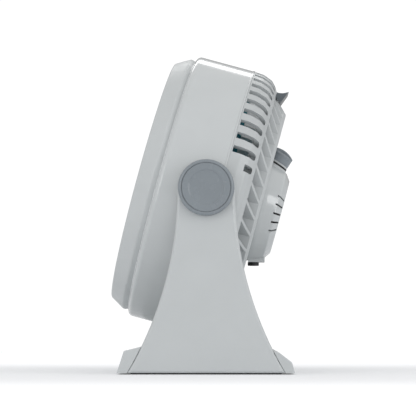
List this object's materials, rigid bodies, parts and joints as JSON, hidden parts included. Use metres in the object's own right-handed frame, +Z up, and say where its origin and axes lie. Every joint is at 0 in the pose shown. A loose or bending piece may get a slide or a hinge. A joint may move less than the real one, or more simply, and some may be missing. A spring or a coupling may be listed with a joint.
{
  "type": "desk fan",
  "caption": "Drum-shaped desk fan with a slotted rear grille and a rear speed knob, tilting between two flared legs on a low base.",
  "frame": {"origin": "on the ground, straight under the head's tilt axis, midway between the legs", "axes": "+Z up, the fan's front faces -Y, +X across to the right side seen from behind"},
  "size_m": [0.3566, 0.202, 0.3508],
  "materials": {
    "body_plastic": "light cool grey moulded ABS, polished",
    "housing_plastic": "light cool grey moulded ABS, high gloss",
    "grille_plastic": "light cool grey moulded polypropylene",
    "stand_plastic": "light cool grey moulded ABS, satin gloss",
    "knob_plastic": "grey-blue moulded ABS",
    "impeller_plastic": "teal moulded polypropylene",
    "badge_plastic": "blank grey-blue badge",
    "black_plastic": "black nylon",
    "rubber": "black rubber",
    "steel": "turned steel",
    "zinc_screws": "zinc-plated steel",
    "laminations": "stacked electrical steel",
    "cast_alloy": "die-cast aluminium",
    "bronze": "sintered bronze",
    "brass": "turned brass",
    "copper": "enamelled copper winding",
    "nylon": "natural nylon"
  },
  "bodies": {
    "stand": {"right_leg": "stand_plastic", "left_leg": "stand_plastic", "right_leg_liner": "stand_plastic", "left_leg_liner": "stand_plastic", "liner_screws": "zinc_screws", "pivot_bushes": "nylon", "base_frame": "stand_plastic", "base_underplate": "stand_plastic", "underplate_screws": "zinc_screws", "leg_screws": "zinc_screws", "rubber_foot_ring": "rubber"},
    "rotor": {"fan_impeller": "impeller_plastic", "impeller_nut": "impeller_plastic", "motor_shaft": "steel", "rotor_core": "laminations", "thrust_washers": "nylon"},
    "speed_dial": {"speed_knob": "knob_plastic", "knob_trim": "housing_plastic", "knob_ring": "black_plastic", "switch_spindle": "nylon"},
    "right_clamp": {"right_tilt_knob": "knob_plastic", "right_tilt_stud": "steel", "right_knob_cap": "knob_plastic"},
    "left_clamp": {"left_tilt_knob": "knob_plastic", "left_tilt_stud": "steel", "left_knob_cap": "knob_plastic"},
    "head": {"front_bezel": "body_plastic", "front_grille": "grille_plastic", "grille_badge": "badge_plastic", "grille_screws": "zinc_screws", "mid_housing": "housing_plastic", "rear_grille": "grille_plastic", "shell_screws": "zinc_screws", "carry_grip": "knob_plastic", "motor_cover": "housing_plastic", "cover_screws": "zinc_screws", "cord_gland": "black_plastic", "speed_switch": "black_plastic", "motor_front_bracket": "cast_alloy", "motor_rear_bracket": "cast_alloy", "stator_core": "laminations", "stator_coils": "copper", "motor_screws": "zinc_screws", "front_bearing": "bronze", "rear_bearing": "bronze", "run_capacitor": "black_plastic", "terminal_block": "nylon", "pivot_inserts": "brass", "friction_washers": "nylon"}
  },
  "joints": [
    {"name": "head_tilt", "type": "hinge", "parent": "stand", "child": "head", "pos_m": [0, 0, 0.19366], "axis": [-1, 0, 0], "range_deg": [-15.3, 74.7]},
    {"name": "fan_spin", "type": "hinge", "parent": "head", "child": "rotor", "pos_m": [0, 0, 0.19366], "axis": [0, 0.9646, -0.2639], "continuous": true},
    {"name": "speed_dial_turn", "type": "hinge", "parent": "head", "child": "speed_dial", "pos_m": [0, 0.07395, 0.229], "axis": [0, 0.5388, 0.8425], "range_deg": [0, 135]},
    {"name": "right_clamp_turn", "type": "hinge", "parent": "head", "child": "right_clamp", "pos_m": [0.168, 0, 0.19366], "axis": [1, 0, 0], "range_deg": [0, 180]},
    {"name": "left_clamp_turn", "type": "hinge", "parent": "head", "child": "left_clamp", "pos_m": [-0.168, 0, 0.19366], "axis": [-1, 0, 0], "range_deg": [0, 180]}
  ]
}
